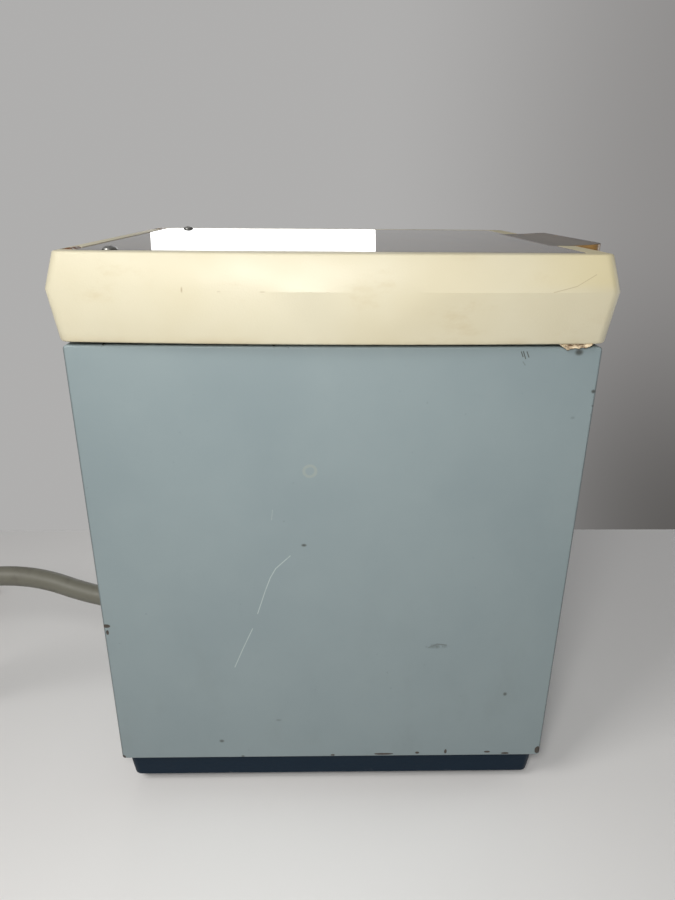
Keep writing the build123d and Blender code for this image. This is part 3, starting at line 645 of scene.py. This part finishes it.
worn_enamel = enamel("grey_enamel_worn", True)
clean_enamel = enamel("grey_enamel", False)
dressed("left_side_panel", "left_side_skin", worn_enamel, "cabinet")
dressed("right_side_panel", "right_side_skin", clean_enamel, "cabinet")
dressed("front_panel", "front_skin", clean_enamel, "cabinet", 0.0002)
dressed("rear_panel", "rear_skin", clean_enamel, "cabinet", 0.0002)


def louvre_hood(long, tall, out, wall=0.0008):
    """One pressed louvre: a hood that is open below and runs back into the sheet at its ends."""
    shape = bmesh.new()
    stations, steps, loops = 24, 6, []
    for n in range(stations + 1):
        share = 2 * n / stations - 1
        swell = max(0.03, (1 - abs(share) ** 5) ** 0.5)
        loop = []
        for inset in (0, wall):
            turns = range(steps + 1) if not inset else range(steps, -1, -1)
            for k in turns:
                angle = math.radians(90 * k / steps)
                reach = (out * swell - inset) * math.sin(angle)
                drop = (tall - inset) * math.cos(angle)
                loop.append(shape.verts.new((share * long / 2, max(-0.0004, reach), drop)))
        loops.append(loop)
    for loop, following in zip(loops, loops[1:]):
        for k in range(len(loop)):
            after = (k + 1) % len(loop)
            shape.faces.new((loop[k], loop[after], following[after], following[k]))
    shape.faces.new(loops[0])
    shape.faces.new(list(reversed(loops[-1])))
    return shape


hood_pair = bmesh.new()
for x in (-0.032, 0.032):
    hood_place = Matrix.Translation((x, panel_high.y, 0.1414))
    hood_mesh = closed_mesh(louvre_hood(0.048, 0.0042, 0.0026), "hood", clean_enamel, hood_place)
    hood_pair.from_mesh(hood_mesh)
hood_rows = repeated(closed_mesh(hood_pair, "hoods", clean_enamel), 8, step=(0, 0, 0.008))
add_piece(hood_rows, "rear_louvres", "cabinet")


def screw_head(radius, high, shank, shank_long, material):
    """A pan head with a cross recess, and its shank below, with the head's seat at height 0."""
    crown = [math.radians(angle) for angle in range(12, 90, 13)]
    crown = [(radius * math.cos(angle), high * math.sin(angle)) for angle in crown]
    profile = [(0, -shank_long), (shank, -shank_long), (shank, 0)]
    profile += [(radius * 0.96, 0), (radius, high * 0.08)]
    head_mesh = closed_mesh(turned(profile + crown + [(0, high)], 36), "head", material)
    head = bpy.data.objects.new("head", head_mesh)
    arm, slot_half = radius * 0.56, radius * 0.13
    cross = box_shape((-arm, arm), (-slot_half, slot_half), (high * 0.35, high * 2))
    box_shape((-slot_half, slot_half), (-arm, arm), (high * 0.35, high * 2.1), cross)
    cutter = bpy.data.objects.new("cutter", closed_mesh(cross, "cutter", material))
    for worker in (head, cutter):
        scene.collection.objects.link(worker)
    cut = head.modifiers.new("recess", "BOOLEAN")
    cut.operation = "DIFFERENCE"
    cut.object = cutter
    cut.use_self = True
    result = plain_mesh(head)
    bpy.data.objects.remove(cutter)
    return result


pan_head = screw_head(0.0029, 0.0016, 0.0015, 0.004, steel)
screw_set = bmesh.new()
for x in (-0.067, 0.067):
    for y, direction in ((panel_low.y, (0, -1, 0)), (panel_high.y, (0, 1, 0))):
        placed_head = pan_head.copy()
        placed_head.transform(facing(x, y, 0.040, direction) @ Matrix.Rotation(x * 9 + y * 5, 4, "Z"))
        screw_set.from_mesh(placed_head)
screw_mesh = repeated(closed_mesh(screw_set, "panel_screws", steel), 2, step=(0, 0, 0.165))
add_piece(screw_mesh, "panel_screw_heads", "cabinet", ["panel_screws"])

black_plastic = Finish("black_moulding", {"Specular IOR Level": 0.45})
black_plastic.done(
    colour=black_plastic.mix(black_plastic.grain(0.01), (0.014, 0.014, 0.015), (0.026, 0.026, 0.027)),
    rough=0.42 + 0.2 * black_plastic.grain(0.0015, 3.0),
    normal=black_plastic.bump(black_plastic.grain(0.0004, 2.0), 0.00004),
)
dressed("fuse_holder", "fuse_carrier", black_plastic.material, "cabinet", 0.0004)
fuse_cap = [(0, 0), (0.0066, 0), (0.0066, 0.0032), (0.0060, 0.0040), (0, 0.0040)]
fuse_place = facing(-0.008, panel_high.y + 0.0026, 0.0845, (0, 1, 0))
fuse_mesh = closed_mesh(turned(fuse_cap, 24), "fuse_cap", black_plastic.material, fuse_place)
add_piece(fuse_mesh, "fuse_cap", "cabinet")

# ---- Front controls: a printed fascia with a minute timer, a rocker, a push button for short runs
# and a red lamp. The parts push in from the front and are nutted behind the panel.
fascia_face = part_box("control_fascia")[0].y
fascia_finish = Finish("fascia_panel", {"Specular IOR Level": 0.4})
fascia_finish.done(
    colour=fascia_finish.mix(fascia_finish.grain(0.03, 4.0), (0.60, 0.58, 0.50), (0.66, 0.64, 0.56)),
    rough=0.44 + 0.15 * fascia_finish.grain(0.008, 3.0),
    normal=fascia_finish.bump(fascia_finish.grain(0.0005, 2.0), 0.00003),
)
dressed("control_fascia", "fascia_plate", fascia_finish.material, "cabinet")

ink = Finish("printed_ink", {"Specular IOR Level": 0.3})
ink.done(
    colour=ink.mix(ink.grain(0.002, 4.0).rise(0.3, 0.8), (0.020, 0.026, 0.034), (0.045, 0.052, 0.060)),
    rough=0.55 + 0.1 * ink.grain(0.001),
)
knob_x, knob_z = -0.028, 0.117
knob_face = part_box("timer_knob")[0].y
on_fascia = facing(knob_x, fascia_face, knob_z, (0, -1, 0))
# degrees between numbers, the starts of marks and numbers, and the numbers' radius
dial_turn, marks_start, numbers_start, numbers_out = 50, 210, 240, 0.0243
print_thick = (-0.0001, 0.00012)
long_tick = box_shape((-0.0003, 0.0003), (0.0175, 0.0205), print_thick)
long_tick = closed_mesh(long_tick, "long_tick", ink.material)
short_tick = box_shape((-0.0002, 0.0002), (0.0175, 0.0192), print_thick)
short_tick = closed_mesh(short_tick, "short_tick", ink.material)
dial_shape = bmesh.new()
for tick, count, turn in ((long_tick, 7, dial_turn), (short_tick, 31, dial_turn / 5)):
    ticks = repeated(tick, count, turn=math.radians(turn), start=math.radians(marks_start))
    dial_shape.from_mesh(ticks)
dial_mesh = closed_mesh(dial_shape, "dial_marks", ink.material, on_fascia)
add_piece(dial_mesh, "dial_marks", "cabinet")


def printed(text, x, z, size):
    """A printed number or sign, as a flat mesh just proud of the fascia."""
    letters = bpy.data.curves.new("print_" + text, "FONT")
    letters.body = text
    letters.size = size
    letters.align_x = "CENTER"
    letters.align_y = "CENTER"
    letters.extrude = 0.00006
    worker = bpy.data.objects.new("print", letters)
    scene.collection.objects.link(worker)
    mesh = plain_mesh(worker)
    stood_up = Matrix.Rotation(math.radians(90), 4, "X")
    mesh.transform(Matrix.Translation((x, fascia_face - 0.00005, z)) @ stood_up)
    return mesh


numbers = bmesh.new()
for n in range(7):
    angle = math.radians(numbers_start - dial_turn * n)
    spot_x, spot_z = knob_x + numbers_out * math.cos(angle), knob_z + numbers_out * math.sin(angle)
    numbers.from_mesh(printed(str(5 * n), spot_x, spot_z, 0.0048))
numbers_mesh = closed_mesh(numbers, "dial_numbers", ink.material)
add_piece(numbers_mesh, "dial_numbers", "cabinet")

border = bmesh.new()
border_x, border_z = (-0.059, 0.059), (0.087, 0.149)
border_y = (fascia_face - 0.0001, fascia_face + 0.0002)
for x in border_x:
    box_shape((x - 0.0002, x + 0.0002), border_y, border_z, border)
for z in border_z:
    box_shape(border_x, border_y, (z - 0.0002, z + 0.0002), border)
border_mesh = closed_mesh(border, "fascia_border", ink.material)
add_piece(border_mesh, "fascia_border", "cabinet")

dressed("timer_knob", "timer_knob_skin", black_plastic.material, "timer", smooth=30)
white_ink = Finish("white_ink", {"Specular IOR Level": 0.3})
white_ink.done(
    colour=white_ink.mix(white_ink.grain(0.001, 3.0), (0.62, 0.61, 0.57), (0.74, 0.73, 0.70)),
    rough=0.5 + 0.1 * white_ink.grain(0.001),
)
pointer_y, pointer_z = (knob_face - 0.00012, knob_face + 0.0003), (0.0060, 0.0132)
pointer_turn = Matrix.Translation((knob_x, 0, knob_z)) @ Matrix.Rotation(math.radians(-150), 4, "Y")
pointer = box_shape((-0.0005, 0.0005), pointer_y, pointer_z)
pointer = closed_mesh(pointer, "knob_pointer", white_ink.material, pointer_turn)
add_piece(pointer, "knob_pointer", "timer")
cap_profile = [(0, -0.0004), (0.00528, -0.0004), (0.00528, 0)]
cap_profile += [(0.00504, 0.0003), (0.0048, 0.0003), (0, 0.0005)]
cap_place = facing(knob_x, knob_face, knob_z, (0, -1, 0))
bright = metal("turned_aluminium", (0.62, 0.62, 0.62), (0.80, 0.80, 0.80), 0.20)
cap_mesh = closed_mesh(turned(cap_profile), "knob_cap", bright, cap_place)
add_piece(cap_mesh, "knob_cap", "timer")
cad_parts["timer_shaft"].material_slots[0].material = steel

for node, name, body, edge in (
    ("rocker_switch", "rocker_frame", "cabinet", 0.0004),
    ("power_rocker", "power_rocker_skin", "rocker", 0.0004),
    ("pilot_lamp", "lamp_bezel", "cabinet", 0.0003),
    ("pulse_button", "pulse_button_skin", "button", 0.0003),
):
    dressed(node, name, black_plastic.material, body, edge)
lens_gloss = {"Transmission Weight": 0.35, "IOR": 1.49, "Coat Weight": 0.6, "Coat Roughness": 0.05}
lens = Finish("red_lens", lens_gloss)
lens.done(
    colour=lens.mix(lens.grain(0.002, 2.0), (0.55, 0.030, 0.014), (0.68, 0.045, 0.020)),
    rough=0.12 + 0.1 * lens.grain(0.0008),
    normal=lens.bump(lens.grain(0.0009, 1.0), 0.0001),
)
dressed("lamp_lens", "lamp_lens_skin", lens.material, "cabinet")

# ---- Top housing: a thick moulding in cream plastic, its sides drawn out to a ridge. It has
# yellowed, and the ridge and a corner are nicked. A torn strip of liner shows below one corner.
cream = Finish("aged_cream_moulding", {"Specular IOR Level": 0.45})
ridge_z = 0.2458
cloud = cream.grain(0.045, 3.0, 0.5)
stain = cream.grain(0.012, 5.0, 0.65, stretch=(1, 2, 1)).rise(0.56, 0.80)
cream_colour = cream.mix(cloud.rise(0.25, 0.75), (0.605, 0.567, 0.430), (0.575, 0.527, 0.378))
cream_colour = cream.mix(0.5 * stain, cream_colour, (0.50, 0.42, 0.26))
front_yellow = cream.y.rise(-0.055, -0.098) * cream.z.rise(0.2445, 0.2500)
cream_colour = cream.mix(0.55 * front_yellow, cream_colour, (0.63, 0.55, 0.31))
low_brown = cream.z.rise(0.2300, 0.2262) * cream.grain(0.02, 4.0).rise(0.35, 0.75)
cream_colour = cream.mix(0.45 * low_brown, cream_colour, (0.42, 0.32, 0.17))
hair_line = cream.stroke((-0.0750, 0.2459), (-0.0835, 0.2480), 0.00022)
hair_line = hair_line.most(cream.stroke((-0.0835, 0.2480), (-0.0905, 0.2520), 0.00020))
nick = cream.dab((0.0592, ridge_z + 0.0005), (0.0003, 0.0009), 0.6)
nick = nick.most(0.7 * cream.dab((0.0304, ridge_z), (0.0010, 0.0002), 0.6))
nick = nick.most(0.5 * cream.dab((0.0460, ridge_z), (0.0006, 0.0002), 0.6))
cream_marks = (0.45 * hair_line).most(0.6 * nick) * (cream.x < -0.084)
cream_colour = cream.mix(cream_marks, cream_colour, (0.30, 0.22, 0.12))
cream_fine = cream.grain(0.0007, 2.0)
cream.done(
    colour=cream_colour,
    rough=0.40 + 0.16 * cloud + 0.12 * stain,
    normal=cream.bump(cream_fine, 0.00004),
)
dressed("top_housing", "housing_skin", cream.material, "cabinet", smooth=15)

liner = Finish("torn_liner", {"Specular IOR Level": 0.2})
liner_fibre = liner.grain(0.0012, 5.0, 0.7, stretch=(1, 3, 1))
liner.done(
    colour=liner.mix(liner_fibre.rise(0.35, 0.62), (0.10, 0.045, 0.018), (0.72, 0.60, 0.42)),
    rough=0.75 + 0.1 * liner_fibre,
    normal=liner.bump(liner_fibre, 0.0004),
)
random.seed(4)
liner_front, liner_top = -0.0806, 0.2266
liner_shape = bmesh.new()
liner_steps, liner_rows = 22, []
for n in range(liner_steps + 1):
    share = n / liner_steps
    y = liner_front - 0.0127 * share
    swell = math.sin(math.pi * share)
    hang = 0.0016 * swell ** 0.5 + 0.0007 * random.random() * swell
    hang += 0.0009 * math.exp(-(((share - 0.27) / 0.09) ** 2))
    row = []
    for k in range(5):
        down = k / 4
        out = panel_low.x - 0.0003 - 0.0012 * down ** 0.7 - 0.0007 * random.random() * down
        row.append(liner_shape.verts.new((out, y, liner_top - hang * down)))
    liner_rows.append(row)
for row, following in zip(liner_rows, liner_rows[1:]):
    for k in range(4):
        liner_shape.faces.new((row[k], row[k + 1], following[k + 1], following[k]))
liner_mesh = closed_mesh(liner_shape, "torn_liner", liner.material)
torn_liner = add_piece(liner_mesh, "torn_liner", "cabinet", smooth=60)
liner_wall = torn_liner.modifiers.new("wall", "SOLIDIFY")
liner_wall.thickness = 0.0003
liner_soft = torn_liner.modifiers.new("soft", "SUBSURF")
liner_soft.levels = 1
liner_soft.render_levels = 1

dressed("lid_gasket", "gasket_ring", black_rubber.material, "cabinet", 0.0004)
dark_steel = metal("laminated_steel", (0.10, 0.10, 0.11), (0.24, 0.24, 0.25), 0.38, (1, 1, 0.4))
dressed("catch_magnet", "catch_magnet_skin", dark_steel, "cabinet", 0.0003)
dressed("hinge_pins", "hinge_pin_rods", steel, "cabinet", 0.0002)
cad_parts["interlock_pin"].material_slots[0].material = steel
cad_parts["interlock_switch"].material_slots[0].material = black_plastic.material

# ---- Bowl and rotor: a spun aluminium bowl under the deck, and a turned aluminium cone with
# twelve pockets for small tubes, held on the motor's shaft by a brass nut.
spun = Finish("spun_aluminium", {"Metallic": 1.0})
spun_y = spun.y - middle_y
spun_rings = (spun.x * spun.x + spun_y * spun_y).root()
spun_inputs = {"W": spun_rings * 2600, "Scale": 1.0, "Detail": 3.0}
spun_wave = spun.node("ShaderNodeTexNoise", {"noise_dimensions": "1D"}, spun_inputs)
spun_cloud = spun.grain(0.015, 4.0)
spun.done(
    colour=spun.mix(spun_cloud, (0.62, 0.62, 0.63), (0.76, 0.76, 0.77)),
    rough=0.26 + 0.18 * spun_wave + 0.08 * spun_cloud,
    normal=spun.bump(spun_wave, 0.00003),
)
dressed("rotor_bowl", "bowl_skin", spun.material, "cabinet", smooth=30)
dressed("rotor_body", "rotor_skin", spun.material, "rotor", smooth=28)
dressed("rotor_hub", "rotor_hub_skin", steel, "rotor", 0.0004)
brass = Finish("clamp_brass", {"Metallic": 1.0})
brass.done(
    colour=brass.mix(brass.grain(0.004, 4.0), (0.68, 0.50, 0.22), (0.50, 0.34, 0.14)),
    rough=0.26 + 0.2 * brass.grain(0.001, 3.0, stretch=(1, 1, 0.3)),
    normal=brass.bump(brass.grain(0.0008, 2.0), 0.00003),
)
dressed("rotor_nut", "rotor_nut_skin", brass.material, "rotor", 0.0003)
rotor_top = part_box("rotor_body")[1].z
stud = [(0, -0.002), (0.0012, -0.002), (0.0012, 0.0002), (0.0009, 0.0005), (0, 0.0006)]
dot_out = Matrix.Translation((0.0505, 0, 0))
pocket_dot = closed_mesh(turned(stud, 16), "dot", black_plastic.material, dot_out)
dots_place = Matrix.Translation((0, middle_y, rotor_top - 0.0004))
dots = repeated(pocket_dot, 12, turn=math.radians(30), place=dots_place)
add_piece(dots, "pocket_dots", "rotor")

# ---- Motor and supply: a brushed motor hung on rubber under a steel plate, its field and armature,
# and a small board with a transformer on the tray.
copper = Finish("enamelled_copper", {"Metallic": 0.7, "Coat Weight": 0.4, "Coat Roughness": 0.2})
strands = copper.grain(0.0007, 2.0, stretch=(1, 1, 0.4))
copper.done(
    colour=copper.mix(strands.rise(0.3, 0.7), (0.28, 0.10, 0.04), (0.62, 0.28, 0.13)),
    rough=0.34 + 0.2 * strands,
    normal=copper.bump(strands, 0.0004),
)
carbon = Finish("pressed_carbon", {"Specular IOR Level": 0.35})
carbon.done(
    colour=carbon.mix(carbon.grain(0.001, 4.0), (0.020, 0.020, 0.021), (0.050, 0.050, 0.052)),
    rough=0.62 + 0.2 * carbon.grain(0.001),
)
board = Finish("board_green", {"Coat Weight": 0.5, "Coat Roughness": 0.15})
track_inputs = {"Vector": board.place, "Scale": 90.0, "Mortar Size": 0.06}
tracks = board.node("ShaderNodeTexBrick", {"offset": 0.3}, track_inputs)
board.done(
    colour=board.mix(tracks.other("Fac"), (0.020, 0.095, 0.040), (0.035, 0.150, 0.060)),
    rough=0.35 + 0.1 * board.grain(0.002),
    normal=board.bump(tracks.other("Fac"), 0.00005),
)
terminal = Finish("terminal_moulding", {"Specular IOR Level": 0.5})
terminal.done(
    colour=terminal.mix(terminal.grain(0.006, 3.0), (0.62, 0.60, 0.50), (0.70, 0.68, 0.58)),
    rough=0.34 + 0.1 * terminal.grain(0.001),
)
for finish, nodes in (
    (steel, ("bowl_screws", "motor_bearings", "motor_plate", "motor_plate_screws", "drive_shaft")),
    (dark_steel, ("motor_can", "stator_core", "transformer", "armature_core")),
    (copper.material, ("stator_windings", "armature_windings", "commutator")),
    (spun.material, ("motor_end_bell",)),
    (brass.material, ("brush_holders",)),
    (carbon.material, ("carbon_brushes",)),
    (black_rubber.material, ("bowl_seal", "motor_isolators")),
    (black_plastic.material, ("timer_body", "pulse_switch", "cooling_fan")),
    (board.material, ("circuit_board",)),
    (terminal.material, ("terminal_block",)),
):
    for node in nodes:
        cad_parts[node].material_slots[0].material = finish

# ---- Lid: one sheet of smoked acrylic, sawn with a finger tab at the front that was warmed and bent
# up a little. Its cut edges glow amber. Two straps and two oval screws hold it on the hinge pins.
smoked = Finish("smoked_acrylic", {"Transmission Weight": 1.0, "IOR": 1.49})
haze = smoked.grain(0.05, 4.0, 0.6)
smears = smoked.grain(0.006, 5.0, 0.65, stretch=(3, 1, 1)).rise(0.5, 0.85)
handled = smoked.y.rise(-0.0845, -0.0885) * (abs(smoked.x) < 0.043)
smoked.done(
    colour=smoked.mix(haze, (0.40, 0.33, 0.25), (0.36, 0.29, 0.21)),
    rough=0.008 + 0.012 * haze + 0.03 * smears + 0.30 * handled,
    normal=smoked.bump(smoked.grain(0.04, 2.0), 0.00002),
)
amber = Finish("amber_cut_edge", {"IOR": 1.49, "Coat Weight": 0.3, "Coat Roughness": 0.2})
saw_marks = amber.grain(0.0006, 3.0, stretch=(6, 6, 1))
amber.done(
    colour=amber.mix(saw_marks, (0.10, 0.050, 0.012), (0.34, 0.19, 0.055)),
    rough=0.30 + 0.3 * saw_marks,
    normal=amber.bump(saw_marks, 0.00008),
)
lid_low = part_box("lid_panel")[0]
lid_under, lid_top = lid_low.z, lid_low.z + 0.0032
lid_side, lid_front, lid_back = 0.0785, middle_y - 0.0938, middle_y + 0.0955
tab_side, tab_front, tab_lift = 0.0420, lid_low.y, 0.0010


def rounded(corner, radius, start, steps=6):
    """Points of a quarter circle round a corner's centre, from a start bearing in degrees."""
    turns = [math.radians(start + 90 * n / steps) for n in range(steps + 1)]
    return [(corner[0] + radius * math.cos(a), corner[1] + radius * math.sin(a)) for a in turns]


tab_round, root_round, lid_round = 0.005, 0.0015, 0.003
tab_x, tab_y = tab_side - tab_round, tab_front + tab_round
root_x, root_y = tab_side + root_round, lid_front - root_round
corner_x, front_y, back_y = lid_side - lid_round, lid_front + lid_round, lid_back - lid_round
lid_outline = rounded((-tab_x, tab_y), tab_round, 180)
lid_outline += rounded((tab_x, tab_y), tab_round, 270)
lid_outline += list(reversed(rounded((root_x, root_y), root_round, 90)))
lid_outline += rounded((corner_x, front_y), lid_round, 270)
lid_outline += rounded((corner_x, back_y), lid_round, 0)
lid_outline += rounded((-corner_x, back_y), lid_round, 90)
lid_outline += rounded((-corner_x, front_y), lid_round, 180)
lid_outline += list(reversed(rounded((-root_x, root_y), root_round, 0)))
lid_shape = bmesh.new()
lid_face = lid_shape.faces.new([lid_shape.verts.new((x, y, lid_under)) for x, y in lid_outline])
raised = bmesh.ops.extrude_face_region(lid_shape, geom=[lid_face])["geom"]
for item in raised:
    if isinstance(item, bmesh.types.BMVert):
        item.co.z = lid_top
bend_steps = 10
for n in range(1, bend_steps):
    cut = (0, lid_front + (tab_front - lid_front) * n / bend_steps, 0)
    everything = lid_shape.verts[:] + lid_shape.edges[:] + lid_shape.faces[:]
    bmesh.ops.bisect_plane(lid_shape, geom=everything, plane_co=cut, plane_no=(0, 1, 0), dist=1e-6)
for vert in lid_shape.verts:
    share = max(0.0, (lid_front - vert.co.y) / (lid_front - tab_front))
    vert.co.z += tab_lift * share ** 2
lid_mesh = closed_mesh(lid_shape, "lid_sheet", smoked.material)
lid_mesh.materials.append(amber.material)
for face in lid_mesh.polygons:
    face.material_index = 1 if abs(face.normal.z) < 0.5 else 0
lid_sheet = add_piece(lid_mesh, "lid_sheet", "lid", ["lid_panel"], 30)
eased(lid_sheet, 0.00035)

rusty = Finish("rusty_hinge", {"Metallic": 0.55})
rust_mask = rusty.grain(0.0022, 5.0, 0.65).rise(0.38, 0.6)
rusty.done(
    colour=rusty.mix(rust_mask, (0.42, 0.38, 0.34), (0.16, 0.060, 0.025)),
    rough=0.35 + 0.4 * rust_mask,
    normal=rusty.bump(rusty.grain(0.0008, 4.0), 0.0002),
)
dressed("hinge_straps", "hinge_strap_leaves", rusty.material, "lid", 0.0002)
dressed("striker_plate", "striker_plate_skin", steel, "lid", 0.0001)
blued = metal("blued_screw", (0.09, 0.09, 0.09), (0.40, 0.40, 0.38), 0.16)
oval_radius = 0.0028
oval_head = screw_head(oval_radius, 0.0013, 0.0015, 0.0046, blued)
lid_screw_set = bmesh.new()
screws_low, screws_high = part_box("lid_screws")
for x, spin in ((screws_low.x + oval_radius, 0.5), (screws_high.x - oval_radius, 1.1)):
    placed_head = oval_head.copy()
    head_place = Matrix.Translation((x, (screws_low.y + screws_high.y) / 2, lid_top))
    placed_head.transform(head_place @ Matrix.Rotation(spin, 4, "Z"))
    lid_screw_set.from_mesh(placed_head)
lid_screw_mesh = closed_mesh(lid_screw_set, "lid_screw_heads", blued)
add_piece(lid_screw_mesh, "lid_screw_heads", "lid", ["lid_screws"])
